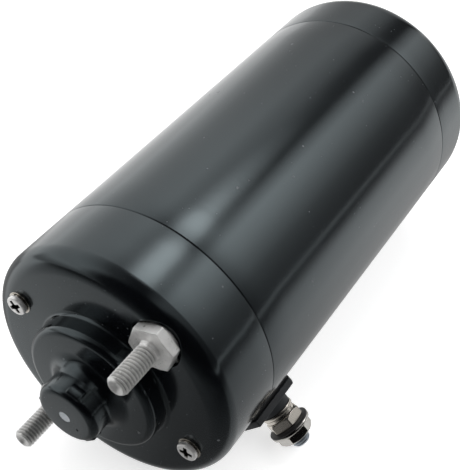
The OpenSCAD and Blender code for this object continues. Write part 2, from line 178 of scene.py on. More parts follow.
# ---------------------------------------------------------------- meshes
def lathe(rows, segments, place=Matrix.Identity(4), loop=False):
    """Skin around local X. A row is (radius, x), or a function of the angle that gives them.

    A row of radius 0 is a single vertex. With loop, the last row joins the first.
    """
    mesh = bmesh.new()
    rings = []
    for row in rows:
        if not callable(row) and row[0] < 1e-6:
            rings.append([mesh.verts.new((row[1] * MM, 0, 0))])
            continue
        ring = []
        for k in range(segments):
            angle = 2 * pi * k / segments
            r, x = row(angle) if callable(row) else row
            ring.append(mesh.verts.new((x * MM, r * cos(angle) * MM, r * sin(angle) * MM)))
        rings.append(ring)
    pairs = list(zip(rings, rings[1:]))
    if loop:
        pairs.append((rings[-1], rings[0]))
    for a, b in pairs:
        for k in range(segments):
            j = (k + 1) % segments
            if len(a) == 1:
                mesh.faces.new((a[0], b[k], b[j]))
            elif len(b) == 1:
                mesh.faces.new((a[k], b[0], a[j]))
            else:
                mesh.faces.new((a[k], b[k], b[j], a[j]))
    mesh.transform(place)
    bmesh.ops.recalc_face_normals(mesh, faces=mesh.faces)
    return mesh


def flat_ring(place, inner, outer, x0, x1, rounding, segments=96):
    """Flat washer with rounded edges."""
    near = rounding * 0.3
    return lathe([
        (inner, x0 + rounding), (inner + near, x0 + near), (inner + rounding, x0),
        (outer - rounding, x0), (outer - near, x0 + near), (outer, x0 + rounding),
        (outer, x1 - rounding), (outer - near, x1 - near), (outer - rounding, x1),
        (inner + rounding, x1), (inner + near, x1 - near), (inner, x1 - rounding),
    ], segments, place, loop=True)


def seal_ring(place, centre_r, wire_r, x, segments, tube):
    circle = [2 * pi * k / tube for k in range(tube)]
    return lathe([(centre_r + wire_r * cos(a), x + wire_r * sin(a)) for a in circle],
                 segments, place, loop=True)


def split_ring(place, inner, outer, x0, x1, gap_deg, start, step, segments=72):
    """Spring washer: a flat wire wound just under one turn, its ends offset along x by step."""
    mesh = bmesh.new()
    thick = (x1 - x0) - step
    cut_off = 0.10      # corner of the wire
    section = [(inner, cut_off), (inner + cut_off, 0), (outer - cut_off, 0), (outer, cut_off),
               (outer, thick - cut_off), (outer - cut_off, thick),
               (inner + cut_off, thick), (inner, thick - cut_off)]
    rings = []
    for i in range(segments + 1):
        along = i / segments
        angle = start + radians(gap_deg / 2) + along * radians(360 - gap_deg)
        rings.append([
            mesh.verts.new(((x0 + step * along + x) * MM, r * cos(angle) * MM, r * sin(angle) * MM))
            for r, x in section])
    count = len(section)
    for a, b in zip(rings, rings[1:]):
        for k in range(count):
            j = (k + 1) % count
            mesh.faces.new((a[k], a[j], b[j], b[k]))
    mesh.faces.new(rings[0][::-1])
    mesh.faces.new(rings[-1])
    mesh.transform(place)
    bmesh.ops.recalc_face_normals(mesh, faces=mesh.faces)
    return mesh


def bevel_edges(mesh, width, steps):
    bmesh.ops.bevel(mesh, geom=list(mesh.edges), offset=width * MM, segments=steps,
                    profile=0.5, affect="EDGES")


def prism(place, outline, x0, x1, bevel):
    """Outline of (y, z) points extruded along local X, with rounded edges."""
    mesh = bmesh.new()
    a = [mesh.verts.new((x0 * MM, y * MM, z * MM)) for y, z in outline]
    b = [mesh.verts.new((x1 * MM, y * MM, z * MM)) for y, z in outline]
    mesh.faces.new(a)
    mesh.faces.new(b[::-1])
    for k in range(len(outline)):
        j = (k + 1) % len(outline)
        mesh.faces.new((a[j], a[k], b[k], b[j]))
    bmesh.ops.recalc_face_normals(mesh, faces=mesh.faces)
    bevel_edges(mesh, bevel, 3)
    mesh.transform(place)
    bmesh.ops.recalc_face_normals(mesh, faces=mesh.faces)
    return mesh


def join(meshes):
    whole = bmesh.new()
    for mesh in meshes:
        data = bpy.data.meshes.new("tmp")
        mesh.to_mesh(data)
        whole.from_mesh(data)
        bpy.data.meshes.remove(data)
        mesh.free()
    return whole


# ---------------------------------------------------------------- objects
def shade(mesh, sharp_deg):
    """Smooth faces, with edges steeper than the angle left sharp."""
    for face in mesh.faces:
        face.smooth = True
    for edge in mesh.edges:
        edge.smooth = not (len(edge.link_faces) == 2
                           and edge.calc_face_angle(0) > radians(sharp_deg))


def to_object(name, mesh, sharp_deg=32):
    shade(mesh, sharp_deg)
    data = bpy.data.meshes.new(name)
    mesh.to_mesh(data)
    mesh.free()
    obj = bpy.data.objects.new(name, data)
    bpy.context.scene.collection.objects.link(obj)
    return obj


def cylinder(place, radius, x0, x1, segments):
    return to_object("cutter", lathe([(0, x0), (radius, x0), (radius, x1), (0, x1)],
                                     segments, place))


def block(place, lo, hi, bevel, steps):
    """Box between two corners, with rounded edges."""
    mesh = bmesh.new()
    bmesh.ops.create_cube(mesh, size=1.0)
    for vert in mesh.verts:
        vert.co = Vector([(c + 0.5) * (b - a) + a for c, a, b in zip(vert.co, lo, hi)]) * MM
    bevel_edges(mesh, bevel, steps)
    mesh.transform(place)
    bmesh.ops.recalc_face_normals(mesh, faces=mesh.faces)
    return to_object("cutter", mesh)


def combine(obj, others, operation="DIFFERENCE", sharp_deg=30):
    """Boolean applied to the mesh; the other objects are removed."""
    for other in others:
        modifier = obj.modifiers.new("b", "BOOLEAN")
        modifier.operation = operation
        modifier.solver = "EXACT"
        modifier.object = other
    depsgraph = bpy.context.evaluated_depsgraph_get()
    depsgraph.update()
    data = bpy.data.meshes.new_from_object(obj.evaluated_get(depsgraph), depsgraph=depsgraph)
    obj.modifiers.clear()
    old = obj.data
    obj.data = data
    bpy.data.meshes.remove(old)
    for other in others:
        other_data = other.data
        bpy.data.objects.remove(other)
        bpy.data.meshes.remove(other_data)
    mesh = bmesh.new()
    mesh.from_mesh(data)
    bmesh.ops.remove_doubles(mesh, verts=mesh.verts, dist=2e-7)
    bmesh.ops.dissolve_degenerate(mesh, edges=mesh.edges, dist=2e-7)
    bmesh.ops.recalc_face_normals(mesh, faces=mesh.faces)
    shade(mesh, sharp_deg)
    mesh.to_mesh(data)
    mesh.free()


def piece(obj, node, material=None):
    """Puts an object in the place of a CAD node, in the node's material unless one is named."""
    obj.data.materials.clear()
    obj.data.materials.append(MATERIALS[material or SLOT_OF[node]])
    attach(obj, BODY_OF[node])
    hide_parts(node)
    return obj


# ---------------------------------------------------------------- places
def turn_x(degrees):
    return Matrix.Rotation(radians(degrees), 4, "X")


def on_circle(degrees, radius):
    """Frame on a circle about the shaft: X is the motor's X, Y points outwards."""
    a = radians(degrees)
    centre = (0, radius * cos(a) * MM, radius * sin(a) * MM)
    return Matrix.Translation(centre) @ turn_x(degrees)


def terminal_place():
    """X points outwards along the terminal, Y along the motor's -X, Z around the body."""
    a = radians(TERMINAL_ANGLE)
    return Matrix(((0, -1, 0, TERMINAL_X * MM),
                   (cos(a), 0, -sin(a), 0),
                   (sin(a), 0, cos(a), 0),
                   (0, 0, 0, 1)))


BOLT_PLACES = [on_circle(a, BOLT_CIRCLE) for a in BOLT_ANGLES]
SCREW_PLACES = [on_circle(a, SCREW_CIRCLE) for a in SCREW_ANGLES]
TERMINAL = terminal_place()
SHAFT = Matrix.Identity(4)


# ---------------------------------------------------------------- shader building
class Graph:
    """Short forms for building a node tree; a value may be an output, a number or a colour."""

    def __init__(self, tree):
        self.tree = tree
        tree.nodes.clear()

    def feed(self, socket, value):
        if isinstance(value, bpy.types.NodeSocket):
            self.tree.links.new(value, socket)
        elif socket.type == "RGBA":
            socket.default_value = (*value, 1)
        else:
            socket.default_value = value

    def add(self, kind, inputs=None, **settings):
        node = self.tree.nodes.new("ShaderNode" + kind)
        for key, value in settings.items():
            setattr(node, key, value)
        for key, value in (inputs or {}).items():
            self.feed(node.inputs[key], value)
        return node

    def ramp(self, value, stops):
        """Colour ramp; stops are (position, grey level or colour)."""
        node = self.add("ValToRGB", {0: value})
        elements = node.color_ramp.elements
        elements.remove(elements[-1])
        for i, (position, colour) in enumerate(stops):
            element = elements[0] if i == 0 else elements.new(position)
            element.position = position
            element.color = (*(colour if isinstance(colour, tuple) else (colour,) * 3), 1)
        return node.outputs[0]

    def math(self, operation, a, b, clamp=False):
        return self.add("Math", {0: a, 1: b}, operation=operation, use_clamp=clamp).outputs[0]

    def scaled(self, value, gain, base, clamp=False):
        return self.math("ADD", self.math("MULTIPLY", value, gain), base, clamp)

    def mix(self, factor, a, b, mode="MIX"):
        node = self.add("Mix", {"Factor": factor}, data_type="RGBA", blend_type=mode)
        for name, value in (("A", a), ("B", b)):
            self.feed(next(s for s in node.inputs if s.name == name and s.type == "RGBA"), value)
        return next(s for s in node.outputs if s.type == "RGBA")

    def multiply(self, a, b):
        return self.mix(1.0, a, b, "MULTIPLY")

    def dim(self, light, mask, level):
        """Multiplies the light by level where the mask is 1."""
        return self.multiply(light, self.mix(mask, (1.0, 1.0, 1.0), level))


class Surface(Graph):
    """A material with one Principled shader, textured in object coordinates."""

    def __init__(self, name):
        self.material = bpy.data.materials.new(name)
        self.material.use_nodes = True
        super().__init__(self.material.node_tree)
        self.output = self.add("OutputMaterial").inputs[0]
        self.shader = self.add("BsdfPrincipled")
        self.feed(self.output, self.shader.outputs[0])
        self.vector = self.add("TexCoord").outputs["Object"]

    def set(self, inputs):
        for key, value in inputs.items():
            self.feed(self.shader.inputs[key], value)

    def noise(self, scale, detail, roughness=0.55, vector=None):
        return self.add("TexNoise", {"Scale": scale, "Detail": detail, "Roughness": roughness,
                                     "Vector": vector or self.vector}).outputs["Fac"]

    def specks(self, scale, size):
        """Sparse small dots: 1 inside a dot."""
        cells = self.add("TexVoronoi",
                         {"Scale": scale, "Randomness": 1.0, "Vector": self.vector})
        chance = self.add("SeparateColor", {0: cells.outputs["Color"]}).outputs
        radius = self.math("MULTIPLY", chance[1], size)
        inside = self.math("LESS_THAN", cells.outputs["Distance"], radius)
        few = self.math("GREATER_THAN", chance[0], 0.80)
        return self.math("MULTIPLY", inside, few)

    def bump(self, layers, bevel=0.0):
        """Layers are (height, strength, distance in mm); bevel is an edge radius in mm."""
        normal = None
        if bevel > 0:
            normal = self.add("Bevel", {"Radius": bevel * MM}, samples=6).outputs[0]
        for height, strength, distance in layers:
            node = self.add("Bump", {"Strength": strength, "Distance": distance * MM,
                                     "Height": height})
            if normal is not None:
                self.feed(node.inputs["Normal"], normal)
            normal = node.outputs[0]
        self.set({"Normal": normal})


def times(colour, factor):
    return tuple(min(1, c * factor) for c in colour)


# ---------------------------------------------------------------- kinds of material
def paint(name, base, rough, level, peel, bevel, dust):
    """Gloss paint with a faint orange peel and specks of dust."""
    surface = Surface(name)
    cloud = surface.noise(scale=38, detail=3)
    fine = surface.noise(scale=900, detail=2)
    colour = surface.ramp(cloud, [(0.3, base), (0.7, times(base, 1.5))])
    large = surface.specks(scale=260, size=0.11)
    small = surface.specks(scale=620, size=0.13)
    specks = surface.math("MAXIMUM", large, surface.math("MULTIPLY", small, 0.5))
    specks = surface.math("MULTIPLY", specks, dust)
    roughness = surface.scaled(cloud, gain=0.08, base=rough - 0.04)
    surface.set({
        "Base Color": surface.mix(specks, colour, (0.13, 0.13, 0.14)),
        "Roughness": surface.math("ADD", roughness, surface.math("MULTIPLY", specks, 0.4),
                                  clamp=True),
        "Specular IOR Level": level,
        "Specular Tint": (0.80, 0.95, 1.0),
    })
    ripple = surface.noise(scale=420, detail=2)
    surface.bump([(ripple, peel, 0.20), (fine, 0.03, 0.05), (specks, 0.25, 0.08)], bevel)
    return surface.material


def metal(name, base, rough, var, grain, stain, metallic=1.0, aniso=0.0, bevel=0.06,
          dark=0.55, stretch=None, cavity_shade=0.75):
    """Metal with stains, pits and dark corners.

    var is the spread of the roughness, grain the bump, dark the pits' share of the base colour
    and twice the painted shade's share, stretch the scale of the fine grain along each axis,
    cavity_shade the strength of the painted shade in crevices.
    """
    surface = Surface(name)
    grain_vector = None
    if stretch:
        grain_vector = surface.add("Mapping", {"Vector": surface.vector,
                                               "Scale": stretch}).outputs[0]
    cloud = surface.noise(scale=220, detail=4, roughness=0.6)
    fine = surface.noise(scale=1800, detail=3, roughness=0.6, vector=grain_vector)
    colour = surface.ramp(cloud, [(0.32, times(base, 1 - 0.28 * stain)), (0.66, base)])
    pits = surface.math("MULTIPLY", surface.specks(scale=900, size=0.30), stain * 0.6)
    colour = surface.mix(pits, colour, times(base, dark))
    # painted shade: the colour darkens where ambient occlusion finds crevices, thread roots and
    # recesses
    open_sky = surface.add("AmbientOcclusion", {"Distance": 0.9 * MM}, samples=8).outputs["AO"]
    painted_crevice_shade = surface.ramp(open_sky, [(0.30, 1.0), (0.78, 0.0)])
    colour = surface.mix(surface.math("MULTIPLY", painted_crevice_shade, cavity_shade), colour,
                         times(base, dark * 0.5))
    roughness = surface.scaled(fine, gain=var, base=rough - var / 2)
    surface.set({
        "Base Color": colour,
        "Roughness": surface.math("ADD", roughness, surface.math("MULTIPLY", cloud, var * 0.5),
                                  clamp=True),
        "Metallic": metallic,
        "Anisotropic": aniso,
    })
    surface.bump([(fine, grain, 0.04), (cloud, grain * 0.7, 0.10)], bevel)
    return surface.material


def solid(name, base, rough, var, grain, scale=1.0, level=0.4, bevel=0.08, mottle=0.25,
          sheen=0.0, dots=None):
    """Rubber, plastic, ceramic: mottled by a share of the base colour, dots a speck colour."""
    surface = Surface(name)
    cloud = surface.noise(scale=150 * scale, detail=4)
    fine = surface.noise(scale=1500 * scale, detail=3)
    colour = surface.ramp(cloud, [(0.3, times(base, 1 - mottle)), (0.7, times(base, 1 + mottle))])
    if dots:
        specks = surface.specks(scale=1100 * scale, size=0.30)
        colour = surface.mix(surface.math("MULTIPLY", specks, 0.7), colour, dots)
    surface.set({
        "Base Color": colour,
        "Roughness": surface.scaled(fine, gain=var, base=rough - var / 2, clamp=True),
        "Specular IOR Level": level,
        "Sheen Weight": sheen,
    })
    surface.bump([(fine, grain, 0.06), (cloud, grain, 0.15)], bevel)
    return surface.material


def laminated(name):
    """Steel sheets stacked along X."""
    surface = Surface(name)
    sheets = surface.add("TexWave",
                         {"Scale": 500, "Distortion": 0.3, "Vector": surface.vector},
                         wave_type="BANDS", bands_direction="X").outputs["Fac"]
    cloud = surface.noise(scale=160, detail=4)
    colour = surface.ramp(sheets, [(0.1, (0.16, 0.165, 0.18)), (0.6, (0.40, 0.41, 0.43))])
    surface.set({
        "Base Color": surface.mix(surface.math("MULTIPLY", cloud, 0.35), colour,
                                  (0.25, 0.20, 0.15)),
        "Metallic": 0.9,
        "Roughness": surface.scaled(cloud, gain=0.2, base=0.3),
    })
    surface.bump([(sheets, 0.25, 0.08)])
    return surface.material


def wound(name):
    """Bundles of enamelled wire."""
    surface = Surface(name)
    wires = surface.add("TexWave", {"Scale": 260, "Distortion": 1.2, "Detail": 2,
                                    "Vector": surface.vector},
                        wave_type="BANDS", bands_direction="DIAGONAL").outputs["Fac"]
    cloud = surface.noise(scale=120, detail=4)
    colour = surface.ramp(wires, [(0.1, (0.16, 0.05, 0.02)), (0.7, (0.55, 0.22, 0.08))])
    surface.set({
        "Base Color": surface.mix(surface.math("MULTIPLY", cloud, 0.3), colour,
                                  (0.30, 0.10, 0.03)),
        "Metallic": 0.6,
        "Roughness": surface.scaled(cloud, gain=0.2, base=0.2),
        "Coat Weight": 0.5,
    })
    surface.bump([(wires, 0.5, 0.25)])
    return surface.material


# ---------------------------------------------------------------- materials
RECIPES = [
    ("black_paint", paint, dict(base=(0.0022, 0.0025, 0.0034), rough=0.15, level=1.0,
                                peel=0.03, bevel=0.18, dust=1.0)),
    ("ferrite", solid, dict(base=(0.055, 0.055, 0.06), rough=0.62, var=0.15, grain=0.3)),
    ("sintered_bronze", metal, dict(base=(0.48, 0.32, 0.15), rough=0.42, var=0.2, grain=0.3,
                                    stain=0.8)),
    ("black_rubber", solid, dict(base=(0.012, 0.012, 0.013), rough=0.52, var=0.12, grain=0.10,
                                 level=0.45, bevel=0.10, mottle=0.2, sheen=0.1)),
    ("seal_rubber", solid, dict(base=(0.030, 0.018, 0.014), rough=0.55, var=0.15, grain=0.12,
                                bevel=0.10, mottle=0.2, sheen=0.1)),
    ("bearing_steel", metal, dict(base=(0.62, 0.63, 0.65), rough=0.20, var=0.10, grain=0.05,
                                  stain=0.2, aniso=0.3, dark=0.5, stretch=(4, 0.6, 0.6))),
    ("brass", metal, dict(base=(0.68, 0.50, 0.22), rough=0.30, var=0.15, grain=0.12, stain=0.5)),
    ("zinc_steel", metal, dict(base=(0.97, 0.965, 0.95), rough=0.26, var=0.20, grain=0.30,
                               stain=1.0, metallic=0.66, bevel=0.04, dark=0.30, cavity_shade=0.92)),
    ("carbon", solid, dict(base=(0.035, 0.033, 0.033), rough=0.6, var=0.2, grain=0.3,
                           level=0.5, bevel=0.05, mottle=0.3, dots=(0.30, 0.16, 0.09))),
    ("spring_steel", metal, dict(base=(0.40, 0.40, 0.42), rough=0.32, var=0.12, grain=0.10,
                                 stain=0.3)),
    ("copper", metal, dict(base=(0.72, 0.36, 0.20), rough=0.28, var=0.15, grain=0.12, stain=0.5,
                           aniso=0.3, bevel=0.05, dark=0.4, stretch=(0.6, 3, 3))),
    ("black_plastic", solid, dict(base=(0.010, 0.010, 0.011), rough=0.42, var=0.14, grain=0.12,
                                  scale=1.2, level=0.5, bevel=0.12, mottle=0.2)),
    ("insulator", solid, dict(base=(0.026, 0.029, 0.033), rough=0.50, var=0.14, grain=0.16,
                              scale=1.2, level=0.5, bevel=0.15, mottle=0.22)),
    ("nickel", metal, dict(base=(0.88, 0.83, 0.75), rough=0.20, var=0.10, grain=0.07,
                           stain=0.35, bevel=0.10, dark=0.32)),
    ("lamination_steel", laminated, {}),
    ("winding_enamel", wound, {}),
    ("phenolic", solid, dict(base=(0.10, 0.045, 0.028), rough=0.45, var=0.15, grain=0.15,
                             level=0.5)),
    # for single pieces and faces
    ("terminal_zinc", metal, dict(base=(0.62, 0.68, 0.74), rough=0.34, var=0.14, grain=0.14,
                                  stain=0.5, metallic=0.9, dark=0.35)),
    ("bright_nickel", metal, dict(base=(0.80, 0.78, 0.74), rough=0.14, var=0.08, grain=0.05,
                                  stain=0.25, bevel=0.08, dark=0.28)),
    ("grey_mark", solid, dict(base=(0.50, 0.53, 0.56), rough=0.42, var=0.12, grain=0.12,
                              level=0.5, bevel=0.05)),
    ("screw_zinc", metal, dict(base=(0.98, 0.97, 0.955), rough=0.20, var=0.10, grain=0.08,
                               stain=0.35, metallic=0.60, dark=0.25)),
    # painted shade: near-black colour for the inside of the screws' cross recesses
    ("recess_dark", solid, dict(base=(0.009, 0.008, 0.007), rough=0.6, var=0.15, grain=0.15,
                                level=0.15, bevel=0.04, mottle=0.3)),
]
MATERIALS = {name: make(name, **values) for name, make, values in RECIPES}


def dress_cad_pieces():
    for node, obj in NODES.items():
        material = MATERIALS[SLOT_OF[node]]
        if len(obj.data.materials) == 0:
            obj.data.materials.append(material)
        for i in range(len(obj.data.materials)):
            obj.data.materials[i] = material
        for slot in obj.material_slots:
            slot.material = material


# ---------------------------------------------------------------- body
def spigot(seam, inward):
    """Outline of the lip that enters the tube, with its seal groove; inward is +1 or -1 on x."""
    steps = [   # radius, depth from the seam, rounding
        (LIP_R, 0), (LIP_R, 0.6), (GROOVE_R, 0.6), (GROOVE_R, 2.4), (LIP_R, 2.4),
        (LIP_R, 3, 0.2), (CAVITY_R, 3, 0.2)]
    return [(r, seam + inward * depth, *rounding) for r, depth, *rounding in steps]


def rear_cover():
    outline = fillet([      # radius, x, rounding
        (0, NOSE), (9.3, NOSE, 2.0), (9.3, BOSS_FACE, 4.0, FULL), (20.1, BOSS_FACE, 2.0, FULL),
        (20.1, REAR_FACE, 1.2), (BODY_R, REAR_FACE, 5.6, FULL), (BODY_R, REAR_SEAM, SEAM_ROUND),
        *spigot(REAR_SEAM, 1),
        (CAVITY_R, REAR_FACE + 4, 1.0), (13, REAR_FACE + 4, 0.3), (13, REAR_FACE - 2.5, 0.3),
        (7, REAR_FACE - 2.5, 0.2), (7, NOSE + 2.4), (5.6, NOSE + 2.4), (5.6, NOSE + 1.8),
        (0, NOSE + 1.8)], 9)
    cover = to_object("rear_cover_shell", lathe(split_long(outline, 6.0), 256))

    cutters = []
    spot_face = fillet([(0, REAR_FACE - 8), (7.2, REAR_FACE - 8), (7.2, REAR_FACE + 1.9, 0.25),
                        (0, REAR_FACE + 1.9)], 5)
    for place in BOLT_PLACES:
        cutters += [
            to_object("cutter", lathe(spot_face, 96, place)),
            # seal seat, bolt hole, wider hole behind it
            cylinder(place, 4.4, REAR_FACE + 1.7, REAR_FACE + 3.1, 48),
            cylinder(place, 3.1, REAR_FACE + 2.5, REAR_FACE + 6, 40),
            cylinder(place, 3.4, REAR_FACE + 3.9, REAR_SEAM + 8, 40)]
    for place in SCREW_PLACES:
        cutters.append(cylinder(place, 2.05, REAR_FACE - 2, REAR_FACE + 6, 40))

    # three raised pads around the nose; local Y is radial
    pads = [block(turn_x(a), (NOSE + 0.92, 7.2, -2.18), (NOSE + 4.28, 9.51, 2.18), 0.5, 5)
            for a in (107, 227, 347)]
    combine(cover, pads, "UNION")

    # shallow round mark on the end of the nose and a small dimple below it
    mark_place, dimple_place = (Matrix.Translation((0, y * MM, z * MM)) for y, z in (MARK, DIMPLE))
    cutters.append(cylinder(mark_place, MARK_R, NOSE - 1, NOSE + MARK_DEPTH, 64))
    dimple = [(0, NOSE - 1), (0.5, NOSE - 1), (0.42, NOSE + 0.12), (0, NOSE + 0.16)]
    cutters.append(to_object("cutter", lathe(dimple, 32, dimple_place)))
    combine(cover, cutters)

    piece(cover, "rear_cover")
    cover.data.materials.append(MATERIALS["grey_mark"])
    for face in cover.data.polygons:
        centre = face.center / MM
        from_mark = hypot(centre.y - MARK[0], centre.z - MARK[1])
        if abs(centre.x - NOSE - MARK_DEPTH) < 0.02 and from_mark < MARK_R - 0.01:
            face.material_index = 1


def yoke_tube():
    outside = split_long(fillet([
        (BORE_R, REAR_SEAM), (BODY_R, REAR_SEAM, SEAM_ROUND), (BODY_R, DRIVE_SEAM, SEAM_ROUND),
        (BORE_R, DRIVE_SEAM)], 5), 12.0)
    bore = split_long([(BORE_R, DRIVE_SEAM), (BORE_R, REAR_SEAM)], 12.0)[1:-1]
    yoke = to_object("yoke_tube", lathe(outside + bore, 256, loop=True))
    combine(yoke, [cylinder(TERMINAL, 4.52, 30, 45, 64)])
    piece(yoke, "yoke")


def drive_cover():
    pilot_r, groove_r = 22, 19.58
    outline = fillet([      # radius, x, rounding
        (12, 1.5), (14, 1.5), (14, PILOT_END, 0.3), (pilot_r, PILOT_END, 1.0),
        (pilot_r, 5.8, 0.1), (groove_r, 5.8), (groove_r, 3.2), (pilot_r, 3.2, 0.1),
        (pilot_r, 0, 0.5), (BODY_R, 0, 7.6, FULL), (BODY_R, DRIVE_SEAM, SEAM_ROUND),
        *spigot(DRIVE_SEAM, -1),
        (CAVITY_R, -6.5, 1.0), (21.5, -6.5, 1.0), (21.5, -14, 0.3), (17.5, -14, 0.2),
        (17.5, -3), (12, -3)], 9)
    piece(to_object("drive_cover_shell", lathe(split_long(outline, 6.0), 256, loop=True)),
          "drive_cover")


# ---------------------------------------------------------------- threads and hexagons
def clamp01(value):
    return max(0.0, min(1.0, value))


def thread(x0, x1, radius, pitch, per_turn, fade0, fade1, start=0.0, depth=None, cone=None):
    """Lathe rows of a thread.

    fade0 and fade1 are the run-outs at x0 and x1, in pitches. cone is the (radius, x) from
    which a 45 degree cone widens and limits the thread.
    """
    depth = depth or 0.62 * pitch

    def row_at(x):
        fade_in = clamp01(abs(x - x0) / (fade0 * pitch))
        fade_out = clamp01(abs(x1 - x) / (fade1 * pitch))

        def row(angle):
            turn = ((x / pitch - angle / (2 * pi)) + start) % 1.0
            from_crest = abs(turn - 0.5) * 2       # 0 at the crest, 1 at the root
            if from_crest < 0.14:
                cut = 0.0
            elif from_crest > 0.86:
                cut = 1.0 - 0.05 * (1 - (from_crest - 0.86) / 0.14)
            else:
                cut = (from_crest - 0.14) / 0.72 * 0.95
            r = radius - depth * cut * fade_out * fade_in
            return (min(r, cone[0] + abs(x - cone[1])) if cone else r), x
        return row

    count = int(round(abs(x1 - x0) / pitch * per_turn))
    return [row_at(x0 + (x1 - x0) * i / count) for i in range(count + 1)]


def hex_rows(across_flats, x_face, x_back, outward, turn, chamfer, slope):
    """Lathe rows of a hexagon chamfered at both ends, from its face to its back.

    outward is the face's direction on x; chamfer is the flat circle's share of the half width.
    """
    flat_r = across_flats / 2 * chamfer
    corner_r = across_flats / 2 / cos(pi / 6) - 0.03875     # corners slightly cut back

    def hex_r(angle):
        from_flat = (angle - turn) % (pi / 3) - pi / 6
        return min(across_flats / 2 / cos(from_flat), corner_r)

    def rim(x_end, inward):
        def inner_edge(angle):
            r = hex_r(angle)
            return r - 0.10, x_end + inward * max(0.0, (r - 0.16 - flat_r) * slope)

        def outer_edge(angle):
            r = hex_r(angle)
            return r, x_end + inward * max(0.06, (r - flat_r) * slope)
        return [(flat_r - 0.25, x_end), (flat_r, x_end), inner_edge, outer_edge]

    return rim(x_face, -outward) + rim(x_back, outward)[::-1]


# ---------------------------------------------------------------- through bolts
BOLT_WASHER = (REAR_FACE + 1.03, REAR_FACE + 1.87)      # x of its two faces


def through_bolt(number, place, hex_turn):
    """Long bolt with a hexagonal collar and a threaded stud behind it, at its -X end."""
    tip = REAR_FACE - 15.59 - 1.2 * number
    face, back = REAR_FACE - 2.2, REAR_FACE + 1.0       # of the collar
    shank_r, end, end_thread = 2.7, -4.2, -16
    rows = [    # hollowed and rounded tip
        (0, tip + 1.05), (0.5, tip + 1.0), (1.0, tip + 0.78), (1.5, tip + 0.42),
        (1.85, tip + 0.14), (2.05, tip + 0.02), (2.15, tip), (2.25, tip + 0.03),
        (2.42, tip + 0.22)]
    rows += thread(tip + 0.45, face - 0.55, 2.97, 1.0, start=0.13 + 0.37 * number, per_turn=11,
                   fade0=0.001, fade1=1.4, cone=(2.42, tip + 0.22))
    rows += [(2.97, face - 0.35), (3.0, face - 0.22), (3.08, face - 0.08),
             (3.25, face - 0.005), (4.2, face)]
    rows += hex_rows(12.0, face, back, -1, hex_turn, chamfer=0.99, slope=0.30)
    rows += [(3.2, back), (2.95, back + 0.05), (shank_r, back + 0.6)]
    x = back + 6
    while x < end_thread:
        rows.append((shank_r, x))
        x += 12
    rows += thread(end_thread, end - 0.5, 2.69, 1.0, start=0.4, per_turn=9, fade0=1.2,
                   fade1=0.001, depth=0.45)
    rows += [(2.25, end), (0, end)]
    return lathe(rows, 120, place)


def through_bolts():
    corner_angles = (47.2, 39.7)    # of each collar, about its own axis from +Y
    bolts = [through_bolt(i, BOLT_PLACES[i], radians(corner_angles[i] - BOLT_ANGLES[i]))
             for i in range(2)]
    piece(to_object("through_bolt_pair", join(bolts), 38), "through_bolts")


def bolt_washers():
    """Flat washers, each with a small tab on its rim."""
    x0, x1 = BOLT_WASHER
    washers = to_object("bolt_washer_pair", join(
        [flat_ring(place, 3.05, 5.84, x0, x1, 0.12) for place in BOLT_PLACES]))
    tabs = [block(place @ turn_x(97), (x0, 5.2, -1.18), (x1, 6.88, 1.18), 0.14, 2)
            for place in BOLT_PLACES]
    combine(washers, tabs, "UNION", sharp_deg=32)
    piece(washers, "through_bolt_washers")


def body_seals():
    piece(to_object("bolt_seal_rings", join(
        [seal_ring(place, 3.7, 0.54, REAR_FACE + 2.5, 64, 16) for place in BOLT_PLACES])),
        "through_bolt_orings")
    seams = (REAR_SEAM + SEAL_GROOVE_MID, DRIVE_SEAM - SEAL_GROOVE_MID)
    piece(to_object("seam_seal_rings", join(
        [seal_ring(SHAFT, LIP_R - 0.66, 0.69, x, 192, 16) for x in seams])), "seam_orings")
    piece(to_object("pilot_seal_ring", seal_ring(SHAFT, 20.75, 1.14, 4.5, 192, 24)),
          "pilot_oring")


# ---------------------------------------------------------------- cross-recess screws
HEAD_TOP, SCREW_END = x_span("brush_plate_screws")
SPRING_X0, SPRING_X1 = x_span("screw_spring_washers")
HEAD_R = 3.0
SHANK_R = 1.9
RECESS_SCALE = 1.06
SCREW_TURNS = (0.5, 1.05)       # of each cross, in radians


def cross_depth(y, z):
    """Depth of the cross recess at a point on the head."""
    from_centre = hypot(y, z)
    amount = 0.0
    for along, across in ((y, z), (z, y)):
        half_width = 0.50 * RECESS_SCALE + 0.05 * max(0.0, 1.6 * RECESS_SCALE - abs(along))
        side = (half_width - abs(across)) / 0.10
        end = (1.9 * RECESS_SCALE - abs(along)) / 0.22
        amount = max(amount, clamp01(min(side, end)))
    # rounded centre
    amount = max(amount, clamp01((0.95 * RECESS_SCALE - from_centre) / 0.25))
    return amount * max(0.6, 1.75 - 0.45 * from_centre / RECESS_SCALE)


def pan_screw(place, turn):
    """Pan head with a domed top towards -X, and a threaded shank."""
    under = SPRING_X0 - 0.02
    dome_r = HEAD_R - 0.62

    def dome_x(r):
        return HEAD_TOP + 0.12 * (r / HEAD_R) ** 2

    def dome_row(r):
        def row(angle):
            y, z = r * cos(angle), r * sin(angle)
            depth = cross_depth(y * cos(turn) + z * sin(turn), -y * sin(turn) + z * cos(turn))
            return r, dome_x(r) + depth
        return row

    rows = [(0, HEAD_TOP + cross_depth(0, 0))]
    rows += [dome_row(i * 0.07) for i in range(1, 40) if i * 0.07 < dome_r]
    rows += fillet([(dome_r, dome_x(dome_r)), (HEAD_R, HEAD_TOP + 0.14, 0.55, FULL),
                    (HEAD_R, under, 0.10), (SHANK_R, under, 0.1), (SHANK_R, under + 0.5)], 7)
    rows += thread(under + 0.6, SCREW_END - 0.5, SHANK_R - 0.01, 0.7, per_turn=8, fade0=1.0,
                   fade1=0.001)
    rows += [(SHANK_R - 0.5, SCREW_END), (0, SCREW_END)]
    return lathe(rows, 144, place)
